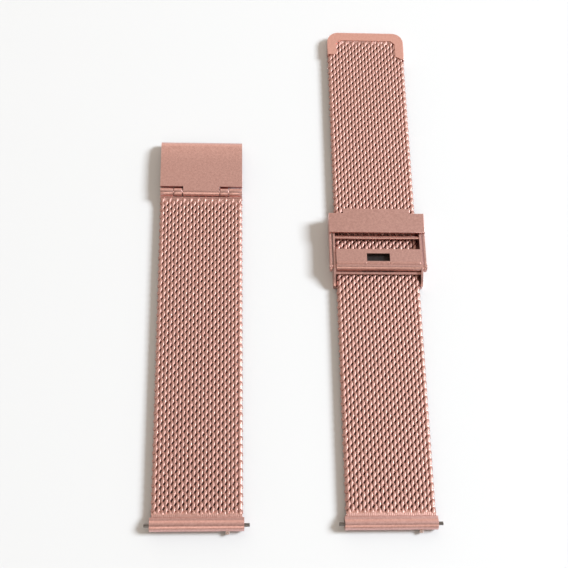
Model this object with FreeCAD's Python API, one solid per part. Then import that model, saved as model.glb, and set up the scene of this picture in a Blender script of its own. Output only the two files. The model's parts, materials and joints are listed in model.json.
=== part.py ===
import FreeCAD, Part
import math
import os

# Two-piece woven-mesh watch strap with a hook-and-cover clasp on the short strap and a
# lockable slider on the long strap. Millimetres, +Z up. Both straps lie face up, parallel
# to Y, with their spring bars at the -Y end. The origin is at the middle of the whole
# set's outline, on the surface it lies on.

# Driving dimensions: the set
TUBE_WIDTH = 20.0               # lug tube
MESH_WIDTH = 19.5               # mesh, cover and tip cap
STRAP_SPACING = 41.4            # between the two centre lines
LONG_LENGTH = 126.1             # front of the lug tube to the tip
MESH_THICKNESS = 1.4
MESH_MID_Z = 1.45               # height of the mesh's middle surface

# Lug end with its quick-release spring bar
TUBE_R = 1.3
TUBE_BORE_R = 0.80
FLANGE_END = 2.8                # front of the tube to where the mesh begins
FLANGE_THICKNESS = 1.7
BARREL_R = 0.75
BARREL_BORE_R = 0.62
BARREL_HALF = 9.3
TIP_R = 0.40
TIP_REACH = 1.2                 # how far each spring-bar tip stands out of the tube
PLUG_R = 0.59                   # shoulder of each tip, a running fit in the barrel
PLUG_LENGTH = 1.8               # how far the fixed shoulder reaches into the barrel
PLUNGER_TAIL = 2.0              # plunger behind the knob
RELEASE_TRAVEL = 1.2
KNOB_X = 6.5
KNOB_R = 0.45
KNOB_OUT = 0.6                  # how far the knob stands out of the tube
KNOB_DROP_DEG = 20.0            # the knob points this far below level
WINDOW_PLAY = 0.08
SPRING_WIRE_R = 0.10
SPRING_COIL_R = 0.45
SPRING_TURNS = 14
SPRING_END_GAP = 0.08

# Bending segments
SHORT_SEGMENTS = 8
LONG_SEGMENTS = 4
TRACK_START = 38.0              # the slider's straight track begins here
SEGMENT_SETBACK = 0.15          # each slab stops this far short of the bend axis

# Clasp hinge at the short strap's end
MESH_END = 78.1
RAIL_DEPTH = 0.4
HINGE_Y = 79.7
HINGE_Z = 2.05
KNUCKLE_R = 1.05
PIN_R = 0.45
PIN_PRESS = 0.02                # radial clearance where the pin is held
PIN_RUNNING = 0.05              # radial clearance where it turns
COVER_KNUCKLE_HALF = 4.30
HOOK_KNUCKLE = (4.50, 6.50)
OUTER_KNUCKLE = (6.62, 9.70)

# Cover plate and hook plate
COVER_START = 80.75
COVER_END = 93.6
COVER_THICKNESS = 0.7
LIP_R = 2.1
LIP_SWEEP_DEG = 78.0
HOOK_START = 81.1
HOOK_THICKNESS = 0.5
HOOK_TOP_Z = 2.10
HOOK_CHANNEL = 0.95             # height of the channel that catches the slider's bar
HOOK_BEND_Y = 87.6
HOOK_RETURN = 2.2

# Tip cap of the long strap
TIP_STRIP = 2.35
TIP_LEG_WIDTH = 2.2
LEFT_LEG_LENGTH = 6.6
RIGHT_LEG_LENGTH = (7.0, 8.1)    # inside and outside: its end follows the slant of the weave
TIP_CORNER_R = 2.8
TIP_INNER_CUT = 1.0
TIP_THICKNESS = 1.6

# Slider
FRAME_Y = (55.9, 73.5)
FRAME_CLEAR_HALF = 9.98
FRAME_WALL = 0.47
FRAME_BASE = 0.55
FRAME_TOP_Z = 3.72
FRAME_NOSE_Z = 1.7
FRAME_SLOPE_Y = 59.0
CROSS_Y = (58.5, 59.1)          # strip across the frame, in front of the lever
CROSS_Z = (2.32, 2.72)
WING_GAP = 0.38
WING_WALL = 0.48
WING_Z = (1.75, 3.75)
BRIDGE_Y = (68.5, 73.5)
BRIDGE_TOP_Z = 4.35
BRIDGE_THICKNESS = 0.6
TAB_HALF = 7.9
TAB_REACH = 1.2
BAR_Y = 67.75
BAR_Z = 2.85
BAR_R = 0.45
LEVER_Y = 60.15
LEVER_Z = 3.15
LEVER_R = 0.95
LEVER_HALF = 9.86
LEVER_END = 64.35
LEVER_THICKNESS = 0.55
LEVER_SLOT_Y = (61.25, 63.2)
LEVER_SLOT_HALF = 2.7
LEVER_RECESS_HALF = 3.65
LEVER_RECESS = 0.25
LEAF_HALF = 4.2                 # steel leaf that closes the slot from below
LEAF_Y = (61.15, 63.6)
LEAF_LOW_Z = 2.75
LEAF_THICKNESS = 0.2
RIVET_R = 0.36
RIVET_INTO_LEVER = 0.9
RIVET_HEAD_R = 0.62
RIVET_HEAD = 0.12
EDGE = 0.12                     # broken edge on plates

HALF = TUBE_WIDTH / 2.0
MESH_HALF = MESH_WIDTH / 2.0
LEVER_TOP_Z = LEVER_Z + LEVER_R
KNOB_DROP = math.radians(KNOB_DROP_DEG)
KNOB_FRONT = (TUBE_R + KNOB_OUT) * math.cos(KNOB_DROP) + KNOB_R * math.sin(KNOB_DROP) - TUBE_R
FRONT_Y = -(LONG_LENGTH - KNOB_FRONT) / 2.0     # front of both lug tubes
MESH_LOW = MESH_MID_Z - MESH_THICKNESS / 2.0
MESH_TOP = MESH_MID_Z + MESH_THICKNESS / 2.0
WING_IN = FRAME_CLEAR_HALF + FRAME_WALL + WING_GAP
WING_OUT = WING_IN + WING_WALL
SIDE_SHIFT = (WING_OUT + RIVET_HEAD - HALF - TIP_REACH) / 2.0     # centres the whole outline
SHORT_X = -STRAP_SPACING / 2.0 - SIDE_SHIFT
LONG_X = STRAP_SPACING / 2.0 - SIDE_SHIFT

X_AXIS = FreeCAD.Vector(1, 0, 0)
nodes = {}


def box(x, y, z):
    """A block between the pairs x, y and z."""
    corner = FreeCAD.Vector(x[0], y[0], z[0])
    return Part.makeBox(x[1] - x[0], y[1] - y[0], z[1] - z[0], corner)


def rod(x, y, z, radius):
    """A round bar along X between the pair x."""
    return Part.makeCylinder(radius, x[1] - x[0], FreeCAD.Vector(x[0], y, z), X_AXIS)


def plate(points, x):
    """An outline of (y, z) points, filled and drawn out along the pair x."""
    corners = [FreeCAD.Vector(x[0], y, z) for y, z in points]
    face = Part.Face(Part.makePolygon(corners + corners[:1]))
    return face.extrude(FreeCAD.Vector(x[1] - x[0], 0, 0))


def mirrored(shape):
    """The same piece on the other side of the strap's centre line."""
    return shape.mirror(FreeCAD.Vector(0, 0, 0), X_AXIS)


def fused(shapes):
    """One solid from several that meet."""
    return shapes[0].fuse(shapes[1:]).removeSplitter()


def broken(shape, keep, size=EDGE):
    """Rounds the straight and round edges for which keep(edge) is true."""
    edges = [edge for edge in shape.Edges if keep(edge)]
    return shape.makeFillet(size, edges)


def along_x(edge):
    first, last = edge.Vertexes[0].Point, edge.Vertexes[-1].Point
    across = abs(first.y - last.y) + abs(first.z - last.z)
    return across < 1e-6 and abs(first.x - last.x) > 1e-6


def put(name, shape, strap_x):
    """Places a piece on its strap and writes it."""
    placed = shape.copy()
    placed.translate(FreeCAD.Vector(strap_x, FRONT_Y, 0))
    if not placed.isValid():
        raise ValueError(name + " is not a valid shape")
    nodes[name] = placed
    placed.exportStep("parts/" + name + ".step")


def knob_cutter(height):
    """The window that the knob travels in, pointing the way the knob does."""
    low = KNOB_X - RELEASE_TRAVEL - KNOB_R - WINDOW_PLAY
    high = KNOB_X + KNOB_R + WINDOW_PLAY
    cutter = box((low, high), (-TUBE_R, TUBE_R), (TUBE_R - height / 2, TUBE_R + height / 2))
    cutter.rotate(FreeCAD.Vector(0, TUBE_R, TUBE_R), X_AXIS, KNOB_DROP_DEG)
    return cutter


def lug_tube():
    """The rolled tube for the spring bar, with the flange that holds the mesh."""
    tube = rod((-HALF, HALF), TUBE_R, TUBE_R, TUBE_R)
    flange_z = (MESH_MID_Z - FLANGE_THICKNESS / 2, MESH_MID_Z + FLANGE_THICKNESS / 2)
    flange = box((-HALF, HALF), (TUBE_R, FLANGE_END), flange_z)
    body = fused([tube, flange])
    body = broken(body, lambda edge: along_x(edge) and edge.Vertexes[0].Point.y > FLANGE_END - 1e-3)
    bore = rod((-HALF - 1, HALF + 1), TUBE_R, TUBE_R, TUBE_BORE_R)
    return body.cut(bore).cut(knob_cutter(2 * (KNOB_R + WINDOW_PLAY)))


def spring_bar_barrel():
    barrel = rod((-BARREL_HALF, BARREL_HALF), TUBE_R, TUBE_R, BARREL_R)
    bore = rod((-BARREL_HALF - 1, BARREL_HALF + 1), TUBE_R, TUBE_R, BARREL_BORE_R)
    return barrel.cut(bore).cut(knob_cutter(2 * (KNOB_R + WINDOW_PLAY)))


def fixed_tip():
    """The tip that stays put, with its shoulder in the barrel's -X end."""
    tip = rod((-HALF - TIP_REACH, -HALF), TUBE_R, TUBE_R, TIP_R)
    tip = broken(tip, lambda edge: edge.BoundBox.XMax < -HALF - TIP_REACH + 1e-3)
    plug = rod((-HALF, -BARREL_HALF + PLUG_LENGTH), TUBE_R, TUBE_R, PLUG_R)
    return fused([tip, plug])


def release_tip():
    """The sliding tip, its plunger and the knob that a fingernail pushes."""
    tip = rod((HALF, HALF + TIP_REACH), TUBE_R, TUBE_R, TIP_R)
    tip = broken(tip, lambda edge: edge.BoundBox.XMin > HALF + TIP_REACH - 1e-3)
    plunger = rod((KNOB_X - PLUNGER_TAIL, HALF), TUBE_R, TUBE_R, PLUG_R)
    root = FreeCAD.Vector(KNOB_X, TUBE_R, TUBE_R)
    way = FreeCAD.Vector(0, -math.cos(KNOB_DROP), -math.sin(KNOB_DROP))
    knob = Part.makeCylinder(KNOB_R, TUBE_R + KNOB_OUT, root, way)
    return fused([tip, plunger, knob])


def bar_spring():
    """The coil inside the barrel, drawn at its pressed length so the plunger's travel stays free."""
    start = -BARREL_HALF + PLUG_LENGTH + SPRING_WIRE_R + SPRING_END_GAP
    end = KNOB_X - PLUNGER_TAIL - RELEASE_TRAVEL - SPRING_WIRE_R - SPRING_END_GAP
    length = end - start
    path = Part.makeHelix(length / SPRING_TURNS, length, SPRING_COIL_R)
    ring = Part.Wire(Part.makeCircle(SPRING_WIRE_R, FreeCAD.Vector(SPRING_COIL_R, 0, 0), FreeCAD.Vector(0, 1, 0)))
    coil = Part.Wire(path).makePipeShell([ring], True, True)
    coil.rotate(FreeCAD.Vector(0, 0, 0), FreeCAD.Vector(0, 1, 0), 90)
    coil.translate(FreeCAD.Vector(start, TUBE_R, TUBE_R))
    return coil


def lug_end(prefix, strap_x):
    put(prefix + "_lug_tube", lug_tube(), strap_x)
    put(prefix + "_spring_bar_barrel", spring_bar_barrel(), strap_x)
    put(prefix + "_fixed_tip", fixed_tip(), strap_x)
    put(prefix + "_release_tip", release_tip(), strap_x)
    put(prefix + "_bar_spring", bar_spring(), strap_x)


def mesh_slabs(prefix, strap_x, start, end, count, open_end):
    """Mesh between two heights of the strap, in slabs that stop just short of each bend axis."""
    step = (end - start) / count
    for index in range(count):
        low = start + index * step + (SEGMENT_SETBACK if index else 0.0)
        last = index == count - 1 and not open_end
        high = start + (index + 1) * step - (0.0 if last else SEGMENT_SETBACK)
        slab = box((-MESH_HALF, MESH_HALF), (low, high), (MESH_LOW, MESH_TOP))
        put(prefix + "_mesh_" + str(index + 1), slab, strap_x)


def knuckle(x, clearance):
    """A hinge knuckle with its bore."""
    outside = rod(x, HINGE_Y, HINGE_Z, KNUCKLE_R)
    return outside.cut(rod((x[0] - 1, x[1] + 1), HINGE_Y, HINGE_Z, PIN_R + clearance))


def hinge_end():
    """The rail soldered to the mesh, with the two outer knuckles that hold the pin."""
    rail = box((-MESH_HALF, MESH_HALF), (MESH_END, MESH_END + RAIL_DEPTH), (MESH_LOW + 0.1, MESH_TOP - 0.1))
    web = box(OUTER_KNUCKLE, (MESH_END, HINGE_Y), (HINGE_Z - KNUCKLE_R, HINGE_Z))
    bore = rod((0, HALF + 1), HINGE_Y, HINGE_Z, PIN_R + PIN_PRESS)
    ear = fused([knuckle(OUTER_KNUCKLE, PIN_PRESS), web.cut(bore)])
    return fused([rail, ear, mirrored(ear)])


def hinge_pin():
    return rod((-OUTER_KNUCKLE[1] + 0.1, OUTER_KNUCKLE[1] - 0.1), HINGE_Y, HINGE_Z, PIN_R)


def cover_plate():
    """The outer cover: centre knuckle, tongue, flat plate and a lip that curls down at the far end."""
    top = HINGE_Z + KNUCKLE_R
    low = top - COVER_THICKNESS
    lip_y = COVER_END - LIP_R
    lip_z = top - LIP_R
    inner_r = LIP_R - COVER_THICKNESS
    half_sweep = math.radians(90 - LIP_SWEEP_DEG / 2)
    end = math.radians(90 - LIP_SWEEP_DEG)

    def at(radius, angle):
        return FreeCAD.Vector(-MESH_HALF, lip_y + radius * math.cos(angle), lip_z + radius * math.sin(angle))

    start_top = FreeCAD.Vector(-MESH_HALF, COVER_START, top)
    start_low = FreeCAD.Vector(-MESH_HALF, COVER_START, low)
    lip_top = FreeCAD.Vector(-MESH_HALF, lip_y, top)
    lip_low = FreeCAD.Vector(-MESH_HALF, lip_y, low)
    outline = [
        Part.makeLine(start_top, lip_top),
        Part.Arc(lip_top, at(LIP_R, half_sweep), at(LIP_R, end)).toShape(),
        Part.makeLine(at(LIP_R, end), at(inner_r, end)),
        Part.Arc(at(inner_r, end), at(inner_r, half_sweep), lip_low).toShape(),
        Part.makeLine(lip_low, start_low),
        Part.makeLine(start_low, start_top),
    ]
    flat = Part.Face(Part.Wire(outline)).extrude(FreeCAD.Vector(MESH_WIDTH, 0, 0))
    tongue_x = (-COVER_KNUCKLE_HALF, COVER_KNUCKLE_HALF)
    tongue = box(tongue_x, (HINGE_Y, COVER_START), (low, top))
    tongue = tongue.cut(rod((-HALF, HALF), HINGE_Y, HINGE_Z, PIN_R + PIN_RUNNING))
    return fused([flat, tongue, knuckle(tongue_x, PIN_RUNNING)])


def hook_plate():
    """The inner plate: two knuckles, a flat blade and a channel that catches the slider's bar."""
    low = HOOK_TOP_Z - HOOK_THICKNESS
    blade = box((-HOOK_KNUCKLE[1], HOOK_KNUCKLE[1]), (HOOK_START, HOOK_BEND_Y), (low, HOOK_TOP_Z))
    bend_z = low - HOOK_CHANNEL / 2
    outer_r = HOOK_CHANNEL / 2 + HOOK_THICKNESS
    width = (-HOOK_KNUCKLE[1], HOOK_KNUCKLE[1])
    bend = rod(width, HOOK_BEND_Y, bend_z, outer_r)
    bend = bend.cut(rod(width, HOOK_BEND_Y, bend_z, HOOK_CHANNEL / 2))
    bend = bend.common(box(width, (HOOK_BEND_Y, HOOK_BEND_Y + 3), (bend_z - 3, bend_z + 3)))
    foot = box(width, (HOOK_BEND_Y - HOOK_RETURN, HOOK_BEND_Y), (bend_z - outer_r, bend_z - HOOK_CHANNEL / 2))
    arm = box(HOOK_KNUCKLE, (HINGE_Y, HOOK_START), (low, HOOK_TOP_Z))
    arm = arm.cut(rod((0, HALF), HINGE_Y, HINGE_Z, PIN_R + PIN_RUNNING))
    ear = fused([knuckle(HOOK_KNUCKLE, PIN_RUNNING), arm])
    return fused([blade, bend, foot, ear, mirrored(ear)])


def tip_line():
    """Where the tip cap meets the mesh, from the end of its left leg round to the right one."""
    inner = MESH_HALF - TIP_LEG_WIDTH
    top = LONG_LENGTH - TIP_STRIP
    left = LONG_LENGTH - LEFT_LEG_LENGTH
    right_in, right_out = (LONG_LENGTH - length for length in RIGHT_LEG_LENGTH)
    return [
        (-MESH_HALF, left), (-inner, left), (-inner, top - TIP_INNER_CUT), (TIP_INNER_CUT - inner, top),
        (inner - TIP_INNER_CUT, top), (inner, top - TIP_INNER_CUT), (inner, right_in), (MESH_HALF, right_out),
    ]


def flat_shape(corners, z):
    """A plate with the given outline in the plane of the strap."""
    points = [FreeCAD.Vector(x, y, z[0]) for x, y in corners]
    face = Part.Face(Part.makePolygon(points + points[:1]))
    return face.extrude(FreeCAD.Vector(0, 0, z[1] - z[0]))


def mesh_main():
    """The straight mesh that the slider runs on, up to and between the legs of the tip cap."""
    low = TRACK_START + SEGMENT_SETBACK
    return flat_shape([(MESH_HALF, low), (-MESH_HALF, low)] + tip_line(), (MESH_LOW, MESH_TOP))


def tip_cap():
    """The solid rim round the free end."""
    z = (MESH_MID_Z - TIP_THICKNESS / 2, MESH_MID_Z + TIP_THICKNESS / 2)
    rim = flat_shape([(MESH_HALF, LONG_LENGTH), (-MESH_HALF, LONG_LENGTH)] + tip_line(), z)
    corners = [
        edge for edge in rim.Edges
        if edge.BoundBox.ZLength > 1 and edge.BoundBox.YMin > LONG_LENGTH - 1e-3
    ]
    rim = rim.makeFillet(TIP_CORNER_R, corners)
    return broken(rim, outer_rim_edge, EDGE)


def outer_rim_edge(edge):
    """True on the rim's outside edges, top and bottom, away from the mesh."""
    flat = edge.BoundBox.ZLength < 1e-6
    middle = edge.valueAt((edge.FirstParameter + edge.LastParameter) / 2)
    side = abs(middle.x) > MESH_HALF - 1e-3
    return flat and (side or middle.y > LONG_LENGTH - TIP_CORNER_R / 2)


def slider_frame():
    """The inner channel under and beside the mesh, with a strip across its front."""
    outer = FRAME_CLEAR_HALF + FRAME_WALL
    base = box((-outer, outer), FRAME_Y, (0, FRAME_BASE))
    side = [
        (FRAME_Y[0], 0), (FRAME_Y[1], 0), (FRAME_Y[1], FRAME_TOP_Z - 0.07),
        (FRAME_SLOPE_Y, FRAME_TOP_Z - 0.07), (FRAME_Y[0], FRAME_NOSE_Z),
    ]
    wall = plate(side, (FRAME_CLEAR_HALF, outer))
    cross = box((-outer, outer), CROSS_Y, CROSS_Z)
    body = fused([base, wall, mirrored(wall), cross])
    body = body.cut(rod((-HALF * 2, HALF * 2), BAR_Y, BAR_Z, BAR_R + PIN_PRESS))
    return body.cut(rod((-HALF * 2, HALF * 2), LEVER_Y, LEVER_Z, RIVET_R + PIN_PRESS))


def slider_bridge():
    """The outer bridge: top plate with its raised tab, and a wing down each side to the rivet."""
    z = (BRIDGE_TOP_Z - BRIDGE_THICKNESS, BRIDGE_TOP_Z)
    top = box((-WING_OUT, WING_OUT), BRIDGE_Y, z)
    tab = box((-TAB_HALF, TAB_HALF), (BRIDGE_Y[1], BRIDGE_Y[1] + TAB_REACH), z)
    skirt = box((WING_IN, WING_OUT), BRIDGE_Y, (WING_Z[0], BRIDGE_TOP_Z))
    wing = box((WING_IN, WING_OUT), (LEVER_Y, BRIDGE_Y[0]), WING_Z)
    round_z = (WING_Z[0] + WING_Z[1]) / 2
    end = rod((WING_IN, WING_OUT), LEVER_Y, round_z, (WING_Z[1] - WING_Z[0]) / 2)
    side = fused([skirt, wing, end])
    body = fused([top, tab, side, mirrored(side)])
    body = broken(body, lambda edge: edge.BoundBox.ZMin > BRIDGE_TOP_Z - 1e-3)
    return body.cut(rod((-HALF * 2, HALF * 2), LEVER_Y, LEVER_Z, RIVET_R + PIN_PRESS))


def hook_bar():
    reach = FRAME_CLEAR_HALF + FRAME_WALL
    return rod((-reach, reach), BAR_Y, BAR_Z, BAR_R)


def lever_rivet():
    """A rivet through the wing and the frame's wall into the lever's end."""
    shank = rod((LEVER_HALF - RIVET_INTO_LEVER, WING_OUT), LEVER_Y, LEVER_Z, RIVET_R)
    head = rod((WING_OUT, WING_OUT + RIVET_HEAD), LEVER_Y, LEVER_Z, RIVET_HEAD_R)
    return fused([shank, head])


def lock_lever():
    """The locking flap: round nose on the pivot, flat plate and a slot to prise it up by."""
    width = (-LEVER_HALF, LEVER_HALF)
    nose = rod(width, LEVER_Y, LEVER_Z, LEVER_R)
    flat = box(width, (LEVER_Y, LEVER_END), (LEVER_TOP_Z - LEVER_THICKNESS, LEVER_TOP_Z))
    body = fused([nose, flat])
    body = broken(body, lambda edge: along_x(edge) and edge.Vertexes[0].Point.y > LEVER_END - 1e-3)
    slot = box((-LEVER_SLOT_HALF, LEVER_SLOT_HALF), LEVER_SLOT_Y, (LEVER_Z - 0.2, LEVER_TOP_Z + 1))
    front = LEVER_Y - LEVER_R
    recess = box((-LEVER_RECESS_HALF, LEVER_RECESS_HALF), (front - 1, front + LEVER_RECESS), (0, LEVER_Z + 0.1))
    bore_depth = RIVET_INTO_LEVER + PIN_RUNNING
    bore = rod((LEVER_HALF - bore_depth, LEVER_HALF + 1), LEVER_Y, LEVER_Z, RIVET_R + PIN_RUNNING)
    return body.cut(slot).cut(recess).cut(bore).cut(mirrored(bore))


def lever_leaf():
    """A steel leaf folded under the lever's slot: a floor with a foot up to the plate at each side."""
    under = LEVER_TOP_Z - LEVER_THICKNESS
    floor = box((-LEAF_HALF, LEAF_HALF), LEAF_Y, (LEAF_LOW_Z, LEAF_LOW_Z + LEAF_THICKNESS))
    foot = box((LEAF_HALF - LEAF_THICKNESS, LEAF_HALF), LEAF_Y, (LEAF_LOW_Z, under))
    return fused([floor, foot, mirrored(foot)])


def build():
    os.makedirs("parts", exist_ok=True)
    lug_end("short", SHORT_X)
    mesh_slabs("short", SHORT_X, FLANGE_END, MESH_END, SHORT_SEGMENTS, False)
    put("short_hinge_end", hinge_end(), SHORT_X)
    put("hinge_pin", hinge_pin(), SHORT_X)
    put("cover_plate", cover_plate(), SHORT_X)
    put("hook_plate", hook_plate(), SHORT_X)
    lug_end("long", LONG_X)
    mesh_slabs("long", LONG_X, FLANGE_END, TRACK_START, LONG_SEGMENTS, True)
    put("long_mesh_main", mesh_main(), LONG_X)
    put("tip_cap", tip_cap(), LONG_X)
    put("slider_frame", slider_frame(), LONG_X)
    put("slider_bridge", slider_bridge(), LONG_X)
    put("hook_bar", hook_bar(), LONG_X)
    rivet = lever_rivet()
    put("lever_rivets", Part.makeCompound([rivet, mirrored(rivet)]), LONG_X)
    put("lock_lever", lock_lever(), LONG_X)
    put("lever_leaf", lever_leaf(), LONG_X)
    for name, shape in nodes.items():
        print(name, len(shape.Solids), round(shape.Volume, 3))


build()
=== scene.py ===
"""Looks of a two-piece woven-mesh watch strap. Metres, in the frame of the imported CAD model."""
import json
import math

import bmesh
import bpy
import numpy as np
from mathutils import Matrix, Vector

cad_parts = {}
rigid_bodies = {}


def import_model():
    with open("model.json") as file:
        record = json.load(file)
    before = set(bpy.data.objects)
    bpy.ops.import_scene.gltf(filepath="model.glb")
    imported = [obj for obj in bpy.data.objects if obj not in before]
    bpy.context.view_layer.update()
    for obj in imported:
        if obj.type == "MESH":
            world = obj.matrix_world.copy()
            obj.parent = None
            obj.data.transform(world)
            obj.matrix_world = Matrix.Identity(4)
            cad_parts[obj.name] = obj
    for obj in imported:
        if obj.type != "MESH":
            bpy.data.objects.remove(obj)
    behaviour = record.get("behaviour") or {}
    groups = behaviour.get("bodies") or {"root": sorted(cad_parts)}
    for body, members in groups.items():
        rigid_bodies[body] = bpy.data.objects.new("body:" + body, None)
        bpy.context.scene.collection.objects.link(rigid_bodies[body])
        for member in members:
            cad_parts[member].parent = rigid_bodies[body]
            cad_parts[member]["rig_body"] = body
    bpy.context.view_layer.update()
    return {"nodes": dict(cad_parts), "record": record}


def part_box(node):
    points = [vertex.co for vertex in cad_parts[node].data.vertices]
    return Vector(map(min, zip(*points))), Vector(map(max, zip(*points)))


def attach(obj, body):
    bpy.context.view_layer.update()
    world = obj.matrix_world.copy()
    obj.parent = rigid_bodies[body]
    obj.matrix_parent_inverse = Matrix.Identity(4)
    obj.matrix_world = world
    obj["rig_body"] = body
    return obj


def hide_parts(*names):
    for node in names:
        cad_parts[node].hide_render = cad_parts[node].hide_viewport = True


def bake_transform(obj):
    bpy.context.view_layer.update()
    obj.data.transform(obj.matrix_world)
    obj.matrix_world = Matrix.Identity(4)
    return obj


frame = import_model()

MM = 0.001
NODES = frame["nodes"]

# ---------------------------------------------------------------- places taken from the frame

STRAP_X = {}
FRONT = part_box("long_lug_tube")[0].y
for strap in ("short", "long"):
    low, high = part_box(strap + "_lug_tube")
    STRAP_X[strap] = (low.x + high.x) / 2
MESH_LOW, MESH_TOP = (corner.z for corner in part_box("long_mesh_2"))
MESH_MID = (MESH_LOW + MESH_TOP) / 2
MESH_HALF = (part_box("long_mesh_2")[1].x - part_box("long_mesh_2")[0].x) / 2

# ---------------------------------------------------------------- materials


class Paint:
    """A node material, with short calls for the nodes it needs."""

    def __init__(self, name):
        self.material = bpy.data.materials.new(name)
        self.material.use_nodes = True
        self.tree = self.material.node_tree
        self.shader = self.tree.nodes["Principled BSDF"]

    def node(self, kind, links=None, **values):
        made = self.tree.nodes.new("ShaderNode" + kind)
        for key, value in values.items():
            if hasattr(made, key):
                setattr(made, key, value)
            else:
                made.inputs[key.replace("_", " ")].default_value = value
        for socket, source in (links or {}).items():
            self.tree.links.new(source, made.inputs[socket])
        return made

    def set(self, **values):
        for key, value in values.items():
            self.shader.inputs[key.replace("_", " ")].default_value = value

    def link(self, socket, source):
        self.tree.links.new(source, self.shader.inputs[socket])


CLOUD_MM = 0.45                 # size of the clouds in a finish
KNOB_LIGHT_BACK = FRONT + 0.40 * MM   # the painted light on a release knob ends here, over a short fade
KNOB_LIGHT_FADE = 0.05 * MM


def satin_metal(name, colour, worn, roughness, grain_mm, grain_depth_mm, knob=None):
    """Blasted or brushed plated metal: a fine grain in the surface and faint clouds in its finish.

    A pale colour, painted light for the release knobs, covers what stands out in front of the lug tubes.
    """
    paint = Paint(name)
    paint.set(Metallic=1.0, Roughness=roughness)
    place = paint.node("TexCoord").outputs["Object"]
    grain = paint.node("TexNoise", {"Vector": place}, Scale=1000 / grain_mm, Detail=3.0, Roughness=0.6)
    cloud = paint.node("TexNoise", {"Vector": place}, Scale=1000 / CLOUD_MM, Detail=5.0, Roughness=0.7)
    cloudy = paint.node("MapRange", {"Value": cloud.outputs["Fac"]}, From_Min=0.38, From_Max=0.62)
    mixed = paint.node("Mix", {"Factor": cloudy.outputs["Result"]}, data_type="RGBA")
    mixed.inputs[6].default_value = (*colour, 1)
    mixed.inputs[7].default_value = (*worn, 1)
    finish = mixed.outputs[2]
    # Painted light: what stands out in front of the lug tubes, the knobs, gets a pale colour in place of
    # the light it catches.
    if knob:
        along = paint.node("SeparateXYZ", {"Vector": place}).outputs["Y"]
        knob_light_mask = paint.node("MapRange", {"Value": along},
                            From_Min=KNOB_LIGHT_BACK - KNOB_LIGHT_FADE, From_Max=KNOB_LIGHT_BACK + KNOB_LIGHT_FADE)
        knob_lit = paint.node("Mix", {"Factor": knob_light_mask.outputs["Result"]}, data_type="RGBA")
        knob_lit.inputs[6].default_value = (*knob, 1)
        paint.tree.links.new(finish, knob_lit.inputs[7])
        finish = knob_lit.outputs[2]
    paint.link("Base Color", finish)
    rough = paint.node("MapRange", {"Value": grain.outputs["Fac"]}, From_Min=0.3, From_Max=0.7,
                       To_Min=roughness - 0.06, To_Max=roughness + 0.08)
    paint.link("Roughness", rough.outputs["Result"])
    bump = paint.node("Bump", {"Height": grain.outputs["Fac"]}, Strength=1.0, Distance=grain_depth_mm * MM)
    paint.link("Normal", bump.outputs["Normal"])
    return paint.material


ROSE = (0.61, 0.352, 0.322)
ROSE_WORN = (0.73, 0.456, 0.426)
# Painted shade: the wire is a darker copy of the rose plating, darkened to stand for the weave's shade.
WIRE_SHADED = (0.528, 0.307, 0.268)
WIRE_SHADED_WORN = (0.606, 0.361, 0.317)
# Painted shade: the slider is a darker copy of the rose plating, darkened against the key light's sheen on
# it.
SLIDER_SHADED = (0.557, 0.322, 0.292)
SLIDER_SHADED_WORN = (0.678, 0.413, 0.375)
# Painted light: the tip cap is a lighter copy of the rose plating, lightened for the brighter sky it
# reflects.
TIP_LIT = (0.73, 0.408, 0.353)
TIP_LIT_WORN = (0.83, 0.477, 0.422)
STEEL = (0.17, 0.16, 0.155)
STEEL_WORN = (0.22, 0.21, 0.205)
# Painted light: a pale colour for the release knobs, in place of the light they catch.
KNOB_PAINTED_LIGHT = (0.85, 0.66, 0.61)
# Painted shade: the leaf under the lever's slot is near black, in place of the shade inside the slot.
LEAF_PAINTED_SHADE = (0.030, 0.027, 0.027)
LEAF_PAINTED_SHADE_WORN = (0.045, 0.04, 0.04)

MATERIALS = {
    "mesh": satin_metal("rose_wire_shaded", WIRE_SHADED, WIRE_SHADED_WORN, 0.46, 0.5, 0.004),
    "lug": satin_metal("rose_lug", ROSE, ROSE_WORN, 0.34, 0.09, 0.006),
    "clasp": satin_metal("rose_clasp", ROSE, ROSE_WORN, 0.31, 0.10, 0.009),
    "slider": satin_metal("rose_slider_shaded", SLIDER_SHADED, SLIDER_SHADED_WORN, 0.33, 0.10, 0.009),
    "tip": satin_metal("rose_tip_lit", TIP_LIT, TIP_LIT_WORN, 0.36, 0.10, 0.008),
    "pins": satin_metal("rose_pins", ROSE, ROSE_WORN, 0.25, 0.12, 0.003),
    "spring_bar": satin_metal("spring_steel_and_knob_light", STEEL, STEEL_WORN, 0.28, 0.10, 0.003, knob=KNOB_PAINTED_LIGHT),
    # painted shade: near black under the lever's slot
    "leaf": satin_metal("leaf_painted_shade", LEAF_PAINTED_SHADE, LEAF_PAINTED_SHADE_WORN, 0.50, 0.15, 0.003),
}

SLOT_OF = {part["node"]: part["material_slot"] for part in frame["record"]["subparts"]}

for name, node in NODES.items():
    node.data.materials.clear()
    node.data.materials.append(MATERIALS[SLOT_OF[name]])


def area_normals(vertices, faces):
    """Vertex normals in which a large face counts for more, so that flats look flat."""
    normals = np.zeros((len(vertices), 3))
    for block in faces:
        block = np.asarray(block)
        sides = block.shape[1]
        corners = [vertices[block[:, k]].astype(float) for k in range(sides)]
        if sides == 4:
            across = np.cross(corners[2] - corners[0], corners[3] - corners[1])
        else:
            across = np.cross(corners[1] - corners[0], corners[2] - corners[0])
        for k in range(sides):
            np.add.at(normals, block[:, k], across)
    length = np.linalg.norm(normals, axis=1)[:, None]
    return normals / np.where(length > 0, length, 1)


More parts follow.
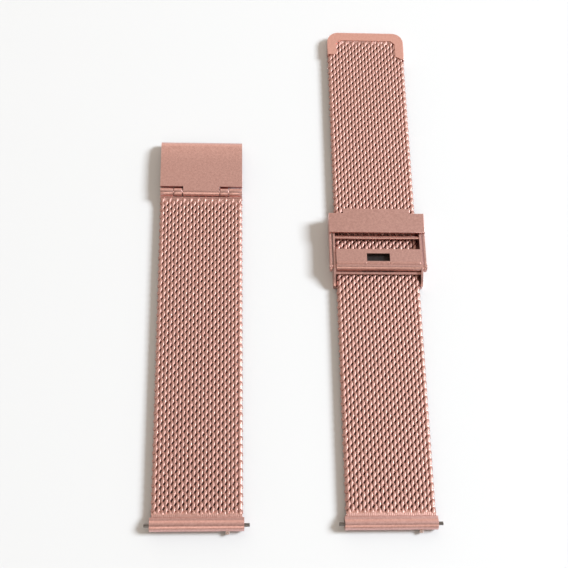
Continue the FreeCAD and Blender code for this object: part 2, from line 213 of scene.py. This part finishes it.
def new_mesh(name, vertices, faces, slot):
    """A smooth-shaded mesh object from an array of points and a list of arrays of quads or triangles."""
    mesh = bpy.data.meshes.new(name)
    vertices = np.asarray(vertices, np.float32)
    sizes = [len(block[0]) for block in faces]
    loops = np.concatenate([np.asarray(block, np.int32).ravel() for block in faces])
    totals = np.concatenate([np.full(len(block), size, np.int32) for block, size in zip(faces, sizes)])
    mesh.vertices.add(len(vertices))
    mesh.vertices.foreach_set("co", vertices.ravel())
    mesh.loops.add(len(loops))
    mesh.loops.foreach_set("vertex_index", loops)
    mesh.polygons.add(len(totals))
    mesh.polygons.foreach_set("loop_start", np.concatenate([[0], np.cumsum(totals)[:-1]]).astype(np.int32))
    mesh.polygons.foreach_set("loop_total", totals)
    mesh.update(calc_edges=True)
    mesh.validate()
    mesh.shade_smooth()
    mesh.normals_split_custom_set_from_vertices(area_normals(vertices, faces))
    mesh.materials.append(MATERIALS[slot])
    piece = bpy.data.objects.new(name, mesh)
    bpy.context.scene.collection.objects.link(piece)
    return piece


# ---------------------------------------------------------------- the woven mesh

COIL_TURNS = 11.5
COIL_STEP = 0.885 * MM          # from one coil to the next, along the strap
COIL_WIDTH = 2.00 * MM          # across a coil's centre line, along the strap
COIL_HEIGHT = 1.06 * MM
COIL_SQUARE = 2.15              # exponent of the coil's squared-off section
WIRE_R = 0.275 * MM
WIRE_REACH = MESH_HALF - WIRE_R
TURN_STEPS = 22
COIL_SWAY = 0.09 * MM           # how far a run bends sideways, one way and then the other
SWAY_PEAK = 0.65                # the largest value of the sway's formula, about
TURN_ADVANCE = 1.64 * MM        # across the strap in one turn, when even steps along a wire are found
TUCK = 0.38 * math.pi           # how far an even wire's ends are tucked under, as a phase of its coil
ODD_START = 1.12 * math.pi      # phases at which an odd wire starts and ends in its turn
ODD_END = 0.88 * math.pi
ROLLED_FROM = 0.72              # share of the coil's half height from which its wire is rolled flat
RUN_WIDTH = 1.15                # the wire's width, as a share of its section's
RUN_TAPER = 0.45                # how much of that share an upper run has lost at its ends
# the wire's section as (sideways, outward) pairs: round in the loops, rolled flat outside on the runs
ROUND_SECTION = [(math.cos(math.radians(a)) * WIRE_R, math.sin(math.radians(a)) * WIRE_R)
                 for a in (0, 22, 50, 130, 158, 180, 225, 270, 315)]
FLAT_SECTION = [(0.330 * MM, -0.02 * MM), (0.285 * MM, 0.09 * MM), (0.170 * MM, 0.150 * MM),
                (-0.170 * MM, 0.150 * MM), (-0.285 * MM, 0.09 * MM), (-0.330 * MM, -0.02 * MM),
                (-0.22 * MM, -0.20 * MM), (0, -0.25 * MM), (0.22 * MM, -0.20 * MM)]
EDGE_R = 0.55 * MM              # half the width of the flat strip inside each edge
EDGE_FLATNESS = 0.43            # its height, as a share of its width
EDGE_Z = -0.20 * MM             # its middle, from the middle of the mesh
EDGE_INSET = 0.12 * MM          # its side, from the side of the mesh
EDGE_STEP = 0.6 * MM
EDGE_OVERRUN = 0.5 * MM         # how far it runs on past the first and last coils
EDGE_SIDES = 8
FIRST_ROW = 0.45 * MM           # the first coil, from the lug end of the mesh
SHORT_LAST_ROW = 0.25 * MM      # the last coil, from the far end of each mesh
LONG_LAST_ROW = 0.35 * MM
TRACK_OVERLAP = 4.4 * MM        # how far the last bending piece of the long strap lies on its track
TIP_LEG_HOLD = 1.7 * MM         # rows between the tip cap's legs stop this far from the strap's side
TIP_BOTH_LEGS = 2.2 * MM        # from the end of its longer leg to where both legs hold the rows
TIP_EDGE_END = 1.5 * MM         # from the end of its longer leg to where the edge strips stop


def coil_line(t):
    """A coil's centre line about its own axis, at phases t: along the strap, and up."""
    power = 2 / COIL_SQUARE
    c, s = np.cos(t), np.sin(t)
    y = -COIL_WIDTH / 2 * np.sign(c) * np.abs(c) ** power
    z = COIL_HEIGHT / 2 * np.sign(s) * np.abs(s) ** power
    return y, z


def turn_phases():
    """Phases of one turn at even steps along the wire."""
    t = np.linspace(0, 2 * np.pi, 4001)
    y, z = coil_line(t)
    x = TURN_ADVANCE * t / (2 * np.pi)
    length = np.concatenate([[0], np.cumsum(np.sqrt(np.diff(x) ** 2 + np.diff(y) ** 2 + np.diff(z) ** 2))])
    return np.interp(np.arange(TURN_STEPS) / TURN_STEPS * length[-1], length, t)


PHASES = turn_phases()


def tube(centre, across, outward, sections):
    """Quads round a line of centres, with a pole at each end."""
    count, sides = sections.shape[:2]
    rings = (centre[:, None] + sections[:, :, :1] * across[:, None] + sections[:, :, 1:] * outward[:, None])
    poles = np.stack([centre[0] * 1.5 - centre[1] * 0.5, centre[-1] * 1.5 - centre[-2] * 0.5])
    a = np.arange(count - 1)[:, None] * sides
    s = np.arange(sides)
    n = (s + 1) % sides
    quads = np.stack([a + s, a + n, a + n + sides, a + s + sides], 2).reshape(-1, 4)
    base = count * sides
    last = base - sides
    caps = np.concatenate([
        np.stack([np.full(sides, base), n, s], 1),
        np.stack([np.full(sides, base + 1), last + s, last + n], 1),
    ])
    return np.concatenate([rings.reshape(-1, 3), poles]), quads, caps


def coil(low_x, high_x, y, odd):
    """One coil across the strap between two places, with its ends tucked under at the edges."""
    pitch = 2 * WIRE_REACH / COIL_TURNS
    first = ODD_START if odd else -TUCK
    last = 2 * math.pi * COIL_TURNS + (ODD_END if odd else TUCK)
    index = np.arange(-TURN_STEPS, int((COIL_TURNS + 2) * TURN_STEPS))
    t = PHASES[index % TURN_STEPS] + 2 * np.pi * (index // TURN_STEPS)
    t = t[(t > first + 0.1) & (t < last - 0.1)]
    t = np.concatenate([[first], t, [last]])
    place = (t - math.pi * odd) / (2 * np.pi) * pitch - WIRE_REACH
    inside = (place > low_x) & (place < high_x)
    t, place = t[inside], place[inside]
    y_off, z_off = coil_line(t)
    sway = COIL_SWAY * np.sin(2 * t) * np.cos(t) ** 2 / SWAY_PEAK
    x = np.clip(place + sway, -WIRE_REACH, WIRE_REACH)
    centre = np.stack([x, y + y_off, z_off], 1)
    along = np.gradient(centre, axis=0)
    along /= np.linalg.norm(along, axis=1)[:, None]
    across = np.array([1.0, 0, 0]) - along * along[:, :1]
    across /= np.linalg.norm(across, axis=1)[:, None]
    outward = np.cross(across, along)
    flip = np.sign(np.sum(outward[:, 1:] * np.stack([y_off, z_off], 1), 1))
    outward *= flip[:, None]
    rolled = np.clip((np.abs(z_off) / (COIL_HEIGHT / 2) - ROLLED_FROM) / (1 - ROLLED_FROM), 0, 1)
    rolled = (rolled * rolled * (3 - 2 * rolled))[:, None, None]
    sections = np.array(ROUND_SECTION)[None] * (1 - rolled) + np.array(FLAT_SECTION)[None] * rolled
    tapered = RUN_WIDTH - RUN_TAPER * np.abs(y_off) / (COIL_WIDTH / 2)
    sections[:, :, 0] *= np.where(z_off > 0, tapered, RUN_WIDTH)[:, None]
    return tube(centre, across, outward, sections)


def edge_strip(x, low, high):
    """A flat strip along the edge of the strap, through the coils' last loops."""
    count = max(2, int((high - low) / EDGE_STEP))
    y = np.linspace(low, high, count)
    centre = np.stack([np.full(count, x), y, np.full(count, EDGE_Z)], 1)
    turn = np.arange(EDGE_SIDES) * 2 * np.pi / EDGE_SIDES
    section = np.stack([np.cos(turn) * EDGE_R, np.sin(turn) * EDGE_R * EDGE_FLATNESS], 1)
    across = np.tile((1.0, 0, 0), (count, 1))
    outward = np.tile((0.0, 0, 1.0), (count, 1))
    return tube(centre, across, outward, np.tile(section, (count, 1, 1)))


def weave(name, strap, rows, edges=()):
    """One object with a coil at each row (y, odd, low_x, high_x), and edge strips (x, low, high)."""
    points, quads, caps = [], [], []
    base = 0
    coils = [coil(low_x, high_x, y, odd) for y, odd, low_x, high_x in rows]
    for p, q, c in coils + [edge_strip(*edge) for edge in edges]:
        points.append(p)
        quads.append(q + base)
        caps.append(c + base)
        base += len(p)
    points = np.concatenate(points) + np.array([STRAP_X[strap], FRONT, MESH_MID])
    return new_mesh(name, points, [np.concatenate(quads), np.concatenate(caps)], "mesh")


def rows_between(start, end, low, high, reach=None):
    """Coils of the strap whose mesh runs from start to end, that lie between low and high."""
    count = int((end - start) / COIL_STEP)
    spare = (end - start - count * COIL_STEP) / 2
    rows = []
    for k in range(count + 1):
        y = start + spare + k * COIL_STEP
        if low <= y < high:
            rows.append((y, k % 2, *(reach(y) if reach else (-1, 1))))
    return rows


def edges_between(start, end, low, high):
    """Both edge strips of the part of the mesh between low and high."""
    low, high = max(low, start - EDGE_OVERRUN), min(high, end + EDGE_OVERRUN)
    x = MESH_HALF - EDGE_R - EDGE_INSET
    return [(-x, low, high), (x, low, high)] if high > low else []


def strap_y(node, corner):
    """Where a node starts (corner 0) or ends (corner 1), from the front of the lug tubes."""
    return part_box(node)[corner].y - FRONT


def bend(piece):
    """Bake the place of a piece that lies over a bend joint into its mesh."""
    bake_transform(piece)


def build_short():
    """The short strap's weave: its pieces run from the middle of one slab to that of the next."""
    nodes = ["short_mesh_%d" % k for k in range(1, 9)]
    bodies = ["short_segment_%d" % k for k in range(1, 9)]
    start = strap_y(nodes[0], 0) + FIRST_ROW
    end = strap_y(nodes[-1], 1) - SHORT_LAST_ROW
    middles = [(strap_y(node, 0) + strap_y(node, 1)) / 2 for node in nodes]
    first = weave("short_weave_start", "short", rows_between(start, end, -1, middles[0]),
                  edges_between(start, end, -1, middles[0]))
    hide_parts(nodes[0])
    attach(first, bodies[0])
    for k in range(len(nodes) - 1):
        low, high = middles[k:k + 2]
        piece = weave("short_weave_bend_%d" % (k + 1), "short", rows_between(start, end, low, high),
                      edges_between(start, end, low, high))
        bend(piece)
        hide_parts(nodes[k], nodes[k + 1])
    last = weave("short_weave_end", "short", rows_between(start, end, middles[-1], 1),
                 edges_between(start, end, middles[-1], 1))
    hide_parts(nodes[-1])
    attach(last, bodies[-1])


def build_long():
    """The long strap's weave: pieces over the bend joints, as in the short strap, and then three on its
    track.
    """
    nodes = ["long_mesh_%d" % k for k in range(1, 5)]
    middles = [(strap_y(node, 0) + strap_y(node, 1)) / 2 for node in nodes]
    middles.append(strap_y("long_mesh_main", 0) + TRACK_OVERLAP)
    nodes.append("long_mesh_main")
    bodies = ["long_segment_%d" % k for k in range(1, 5)] + ["long_track"]
    start = strap_y(nodes[0], 0) + FIRST_ROW
    end = strap_y("long_mesh_main", 1) - LONG_LAST_ROW
    leg_y = strap_y("tip_cap", 0)
    inner_x = MESH_HALF - TIP_LEG_HOLD

    def reach(y):
        """The rows run on into the legs of the tip cap; past its shorter leg they stop inside both."""
        return (-inner_x, inner_x) if y > leg_y + TIP_BOTH_LEGS else (-1, 1)

    first = weave("long_weave_start", "long", rows_between(start, end, -1, middles[0], reach),
                  edges_between(start, end, -1, middles[0]))
    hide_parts(nodes[0])
    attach(first, bodies[0])
    for k in range(4):
        low, high = middles[k:k + 2]
        piece = weave("long_weave_bend_%d" % (k + 1), "long", rows_between(start, end, low, high, reach),
                      edges_between(start, end, low, high))
        bend(piece)
        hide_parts(nodes[k], nodes[k + 1])
    stops = np.linspace(middles[4], end + 1 * MM, 4)
    for k in range(3):
        low, high = stops[k:k + 2]
        piece = weave("long_weave_track_%d" % (k + 1), "long", rows_between(start, end, low, high, reach),
                      edges_between(start, leg_y + TIP_EDGE_END, low, high))
        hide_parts("long_mesh_main")
        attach(piece, "long_track")


build_short()
build_long()

# ---------------------------------------------------------------- softened edges of the metal parts

EDGE_SOFTNESS = {
    "cover_plate": 0.10, "hook_plate": 0.07, "short_hinge_end": 0.07, "tip_cap": 0.12,
    "slider_bridge": 0.10, "slider_frame": 0.06, "lock_lever": 0.09, "lever_leaf": 0.04,
    "short_lug_tube": 0.08, "long_lug_tube": 0.08, "lever_rivets": 0.06, "hook_bar": 0.05,
    "hinge_pin": 0.05,
}
FLAT_ANGLE = math.radians(0.8)  # faces that meet at less than this become one
SHARP_ANGLE = math.radians(35)  # an edge that turns by more than this is rounded

COVER_LIP = 2.1 * MM            # length of the cover's curled lip
CAMBER_LENGTH = 4.0 * MM        # the cover dips a little over this length, before its lip
CAMBER_DROP = 0.20 * MM
CAMBER_CUTS = 9


def cambered(work):
    """Dip the far end of the cover plate."""
    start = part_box("cover_plate")[1].y - COVER_LIP - CAMBER_LENGTH
    for k in range(CAMBER_CUTS):
        everything = work.verts[:] + work.edges[:] + work.faces[:]
        cut_y = start + CAMBER_LENGTH * k / (CAMBER_CUTS - 1)
        bmesh.ops.bisect_plane(work, geom=everything, dist=1e-7, plane_co=(0, cut_y, 0), plane_no=(0, 1, 0))
    for vertex in work.verts:
        along = (vertex.co.y - start) / CAMBER_LENGTH
        if along > 1:
            vertex.co.z -= CAMBER_DROP
        elif along > 0:
            vertex.co.z -= CAMBER_DROP * along ** 2


def softened(node, width):
    """A copy of a CAD node with rounded edges, which stands for it."""
    mesh = NODES[node].data.copy()
    piece = bpy.data.objects.new(node + "_finished", mesh)
    bpy.context.scene.collection.objects.link(piece)
    work = bmesh.new()
    work.from_mesh(mesh)
    bmesh.ops.remove_doubles(work, verts=work.verts, dist=1e-6)
    bmesh.ops.dissolve_limit(work, angle_limit=FLAT_ANGLE, verts=work.verts, edges=work.edges)
    if node == "cover_plate":
        cambered(work)
    work.to_mesh(mesh)
    work.free()
    mesh.shade_smooth()
    bevel = piece.modifiers.new("bevel", "BEVEL")
    bevel.width = width * MM
    bevel.segments = 3
    bevel.limit_method = "ANGLE"
    bevel.angle_limit = SHARP_ANGLE
    bevel.use_clamp_overlap = True
    even = piece.modifiers.new("even", "WEIGHTED_NORMAL")
    even.mode = "FACE_AREA"
    even.weight = 80
    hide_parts(node)
    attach(piece, NODES[node]["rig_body"])


for node, width in EDGE_SOFTNESS.items():
    softened(node, width)

# ---------------------------------------------------------------- solder and small details

WEAVE_TOP = MESH_MID + COIL_HEIGHT / 2 + 0.15 * MM
SOLDER_HALF = MESH_HALF - 0.12 * MM
SOLDER_DEPTH = 0.25 * MM        # from the solder's lowest edge to its underside
LINE_HEIGHT = 0.012 * MM        # fine lines in the solder, and from one line to the next
LINE_PITCH = 0.41 * MM
GRIT = 0.006 * MM               # how rough the solder is
TIP_RIM = 2.35 * MM             # length of the tip cap's closed end
TIP_SOLDER_GAP = 2.4 * MM       # the solder's side, from the side of the mesh, between the cap's legs


def solder(name, strap, body, near, far, near_z, far_z, seed, half=SOLDER_HALF, level=0.0):
    """The bed of solder in which the last rows of mesh lie, from near, at the metal, to far.

    It lies level for the first part of its length, of which level is the share, and then falls to
    far_z. Its far end is ragged.
    """
    across, deep = 240, 8
    random = np.random.default_rng(seed)
    x = np.linspace(-half, half, across)
    ragged = np.convolve(random.uniform(-1, 1, across + 8), np.ones(9) / 9, "valid")
    t = np.linspace(0, 1, deep)[:, None]
    reach = (far - near) * (1 + 0.55 * ragged)[None]
    y = near + t * reach
    fall = np.clip((t - level) / (1 - level), 0, 1)
    fall = fall * fall * (3 - 2 * fall)
    ripple = np.sin(x / LINE_PITCH * 2 * np.pi)[None] * LINE_HEIGHT
    top = near_z + (far_z - near_z) * fall + ripple * (1 - fall)
    top = top + random.uniform(-GRIT, GRIT, (deep, across))
    xx = np.broadcast_to(x[None], top.shape)
    upper = np.stack([xx, y, top], 2).reshape(-1, 3)
    lower = upper.copy()
    lower[:, 2] = min(near_z, far_z) - SOLDER_DEPTH
    r = np.arange(deep - 1)[:, None] * across
    c = np.arange(across - 1)[None]
    grid = np.stack([r + c, r + c + 1, r + c + across + 1, r + c + across], 2).reshape(-1, 4)
    if far < near:
        grid = grid[:, ::-1]
    ring = np.concatenate([
        np.arange(across - 1), (np.arange(deep - 1) + 1) * across - 1,
        (deep - 1) * across + np.arange(across - 1, 0, -1), np.arange(deep - 1, 0, -1) * across,
    ])
    following = np.roll(ring, -1)
    size = len(upper)
    walls = np.stack([ring, ring + size, following + size, following], 1)
    if far < near:
        walls = walls[:, ::-1]
    points = np.concatenate([upper, lower]) + np.array([STRAP_X[strap], FRONT, 0])
    piece = new_mesh(name, points, [np.concatenate([grid, grid[:, ::-1] + size, walls])], "mesh")
    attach(piece, body)


for strap in ("short", "long"):
    edge = strap_y(strap + "_lug_tube", 1)
    solder(strap + "_lug_solder", strap, strap + "_segment_1", edge - 0.1 * MM, edge + 1.5 * MM,
           WEAVE_TOP + 0.02 * MM, MESH_MID + 0.28 * MM, seed=5, level=0.45)
edge = strap_y("short_mesh_8", 1)
solder("hinge_solder", "short", "short_segment_8", edge + 0.1 * MM, edge - 1.5 * MM,
       WEAVE_TOP - 0.03 * MM, MESH_MID + 0.22 * MM, seed=7)
edge = strap_y("tip_cap", 1) - TIP_RIM
solder("tip_solder", "long", "long_track", edge + 0.15 * MM, edge - 0.95 * MM,
       WEAVE_TOP - 0.06 * MM, MESH_MID + 0.22 * MM, seed=9, half=MESH_HALF - TIP_SOLDER_GAP)


LEVER_LOW, LEVER_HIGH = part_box("lock_lever")
LEVER_HALF = (LEVER_HIGH.x - LEVER_LOW.x) / 2
SLOT_HALF = 2.70 * MM           # half the length of the lever's slot
SLOT_GAP = 0.07 * MM            # between the ridge and the slot's ends
RIDGE_GAP = 0.1 * MM            # between the ridge and the lever's sides
RIDGE_Y = 60.72 * MM
RIDGE_Z = LEVER_HIGH.z - 0.03 * MM
RIDGE_HALF = 0.29 * MM          # half the ridge's width, and its height
RIDGE_HEIGHT = 0.25 * MM
RIDGE_SIDES = 9
RIDGE_ENDS = ((0.0, 0.35), (0.04 * MM, 0.8))    # (place, share of the section) near each end
RIDGE_STRAIGHT = 0.12 * MM      # from here on it has its full section


def ridge(name, low_x, high_x):
    """A low half-round bead on the lever, across the strap, with rounded ends."""
    places = np.concatenate([
        [low_x + place for place, share in RIDGE_ENDS],
        np.linspace(low_x + RIDGE_STRAIGHT, high_x - RIDGE_STRAIGHT, 8),
        [high_x - place for place, share in reversed(RIDGE_ENDS)]])
    end_shares = [share for place, share in RIDGE_ENDS]
    shares = np.concatenate([end_shares, np.ones(8), end_shares[::-1]])
    turn = np.linspace(0, np.pi, RIDGE_SIDES)
    rings = np.stack([
        np.stack([np.full(RIDGE_SIDES, x), RIDGE_Y + np.cos(turn) * RIDGE_HALF * share,
                  RIDGE_Z + np.sin(turn) * RIDGE_HEIGHT * share], 1)
        for x, share in zip(places, shares)])
    poles = rings[[0, -1]].mean(1)
    last = (len(places) - 1) * RIDGE_SIDES
    pole = last + RIDGE_SIDES
    a = np.arange(len(places) - 1)[:, None] * RIDGE_SIDES
    s = np.arange(RIDGE_SIDES)
    n = (s + 1) % RIDGE_SIDES
    quads = np.stack([a + s, a + n, a + n + RIDGE_SIDES, a + s + RIDGE_SIDES], 2).reshape(-1, 4)[:, ::-1]
    caps = np.concatenate([
        np.stack([np.full(RIDGE_SIDES, pole), s, n], 1),
        np.stack([np.full(RIDGE_SIDES, pole + 1), last + n, last + s], 1),
    ])
    points = np.concatenate([rings.reshape(-1, 3), poles]) + np.array([STRAP_X["long"], FRONT, 0])
    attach(new_mesh(name, points, [quads, caps], "slider"), "lever")


ridge("lever_ridge_left", -LEVER_HALF + RIDGE_GAP, -SLOT_HALF - SLOT_GAP)
ridge("lever_ridge_middle", -SLOT_HALF + SLOT_GAP, SLOT_HALF - SLOT_GAP)
ridge("lever_ridge_right", SLOT_HALF + SLOT_GAP, LEVER_HALF - RIDGE_GAP)

# ---------------------------------------------------------------- floor, light, camera

FLOOR_HALF = 1.5
FLOOR_DROP = 0.05 * MM          # the floor lies this much below the straps
FLOOR_GREY = (0.660, 0.669, 0.679)

ROOM_COLOUR = (1.0, 0.88, 0.76)
WALL_COLOUR = (0.90, 0.90, 0.89)
WALL_LIGHT = 0.9
PATCH_WAY = (0.0, -0.72, 0.694)             # towards the bright patch, above and on the near side
KEY_AZIMUTH, KEY_ELEVATION = 10, 39         # degrees
KEY_DISTANCE = 3.0
KEY_SIZE = 0.92
KEY_POWER = 119.0
KEY_COLOUR = (1.0, 1.075, 1.14)

CAMERA_LENS = 66.55                         # in millimetres, on a sensor 36 wide
CAMERA_PLACE = Vector((-15.945, -98.72, 226.31)) * MM
CAMERA_YAW, CAMERA_PITCH, CAMERA_ROLL = -8.933, 67.414, 8.581     # degrees; pitch is downwards


def make_floor():
    """A plain pale table top."""
    half = FLOOR_HALF
    points = [(-half, -half, 0), (half, -half, 0), (half, half, 0), (-half, half, 0)]
    mesh = bpy.data.meshes.new("floor")
    mesh.from_pydata(points, [], [(0, 1, 2, 3)])
    floor = bpy.data.objects.new("floor", mesh)
    bpy.context.scene.collection.objects.link(floor)
    floor.location.z = -FLOOR_DROP
    paint = Paint("table_top")
    paint.set(Roughness=0.65, Base_Color=(*FLOOR_GREY, 1))
    mesh.materials.append(paint.material)


def make_key_light():
    """A soft square light that faces the straps from their right."""
    light = bpy.data.lights.new("key", "AREA")
    light.shape = "RECTANGLE"
    light.size = light.size_y = KEY_SIZE
    light.energy = KEY_POWER
    light.color = KEY_COLOUR
    lamp = bpy.data.objects.new("key", light)
    bpy.context.scene.collection.objects.link(lamp)
    azimuth, elevation = math.radians(KEY_AZIMUTH), math.radians(KEY_ELEVATION)
    away = Vector((math.cos(azimuth) * math.cos(elevation), math.sin(azimuth) * math.cos(elevation),
                   math.sin(elevation)))
    lamp.location = away * KEY_DISTANCE
    lamp.rotation_euler = away.to_track_quat("Z", "Y").to_euler()


def make_room():
    """A pale room, brighter beyond the straps and to their left, with one round bright patch.

    The camera sees a plain pale wall in its place, so that low views have no dark horizon.
    """
    world = bpy.data.worlds.new("studio")
    bpy.context.scene.world = world
    world.use_nodes = True
    tree = world.node_tree
    back = tree.nodes["Background"]
    back.inputs["Color"].default_value = (*ROOM_COLOUR, 1)

    def node(kind, **inputs):
        made = tree.nodes.new("ShaderNode" + kind)
        for name, value in inputs.items():
            socket = made.inputs[name.replace("_", " ")]
            if isinstance(value, bpy.types.NodeSocket):
                tree.links.new(value, socket)
            else:
                socket.default_value = value
        return made

    def ramp(value, low, high, dark, light):
        """Light that goes smoothly from dark to light as value goes from low to high."""
        made = node("MapRange", Value=value, From_Min=low, From_Max=high, To_Min=dark, To_Max=light)
        made.interpolation_type = "SMOOTHSTEP"
        return made.outputs["Result"]

    def math_of(operation, first, second):
        made = node("Math")
        made.operation = operation
        tree.links.new(first, made.inputs[0])
        tree.links.new(second, made.inputs[1])
        return made.outputs[0]

    way = node("TexCoord").outputs["Generated"]
    parts = node("SeparateXYZ", Vector=way)
    overhead = ramp(parts.outputs["Y"], -0.50, 0.12, 0.10, 0.63)
    window = ramp(parts.outputs["Y"], 0.30, 0.90, 0.0, 0.55)
    low = ramp(parts.outputs["Z"], 0.36, 0.58, 0.58, 0.0)
    beyond = math_of("ADD", math_of("MAXIMUM", overhead, low), window)
    sideways = ramp(parts.outputs["X"], -0.6, 0.6, 1.10, 0.82)
    nearness = node("VectorMath")
    nearness.operation = "DOT_PRODUCT"
    tree.links.new(way, nearness.inputs[0])
    nearness.inputs[1].default_value = PATCH_WAY
    patch = ramp(nearness.outputs["Value"], 0.93, 0.985, 0.0, 1.9)
    room = math_of("MULTIPLY", beyond, sideways)
    tree.links.new(math_of("ADD", room, patch), back.inputs["Strength"])
    wall = node("Background", Color=(*WALL_COLOUR, 1), Strength=WALL_LIGHT)
    seen = tree.nodes.new("ShaderNodeLightPath").outputs["Is Camera Ray"]
    mixed = node("MixShader", Fac=seen)
    tree.links.new(back.outputs[0], mixed.inputs[1])
    tree.links.new(wall.outputs[0], mixed.inputs[2])
    tree.links.new(mixed.outputs[0], tree.nodes["World Output"].inputs["Surface"])


def make_camera():
    """The camera, at the photo's viewing angle."""
    camera = bpy.data.cameras.new("camera")
    camera.lens = CAMERA_LENS
    camera.sensor_width = 36.0
    camera.clip_start = 0.01
    eye = bpy.data.objects.new("camera", camera)
    bpy.context.scene.collection.objects.link(eye)
    yaw, pitch, roll = (math.radians(a) for a in (CAMERA_YAW, CAMERA_PITCH, CAMERA_ROLL))
    forward = Vector((-math.sin(yaw) * math.cos(pitch), math.cos(yaw) * math.cos(pitch), -math.sin(pitch)))
    level = Vector((math.cos(yaw), math.sin(yaw), 0))
    upward = level.cross(forward)
    right = level * math.cos(roll) + upward * math.sin(roll)
    up = upward * math.cos(roll) - level * math.sin(roll)
    turn = Matrix((right, up, -forward)).transposed()
    eye.matrix_world = Matrix.Translation(CAMERA_PLACE) @ turn.to_4x4()
    bpy.context.scene.camera = eye


make_floor()
make_room()
make_key_light()
make_camera()
bpy.context.scene.view_settings.view_transform = "Standard"
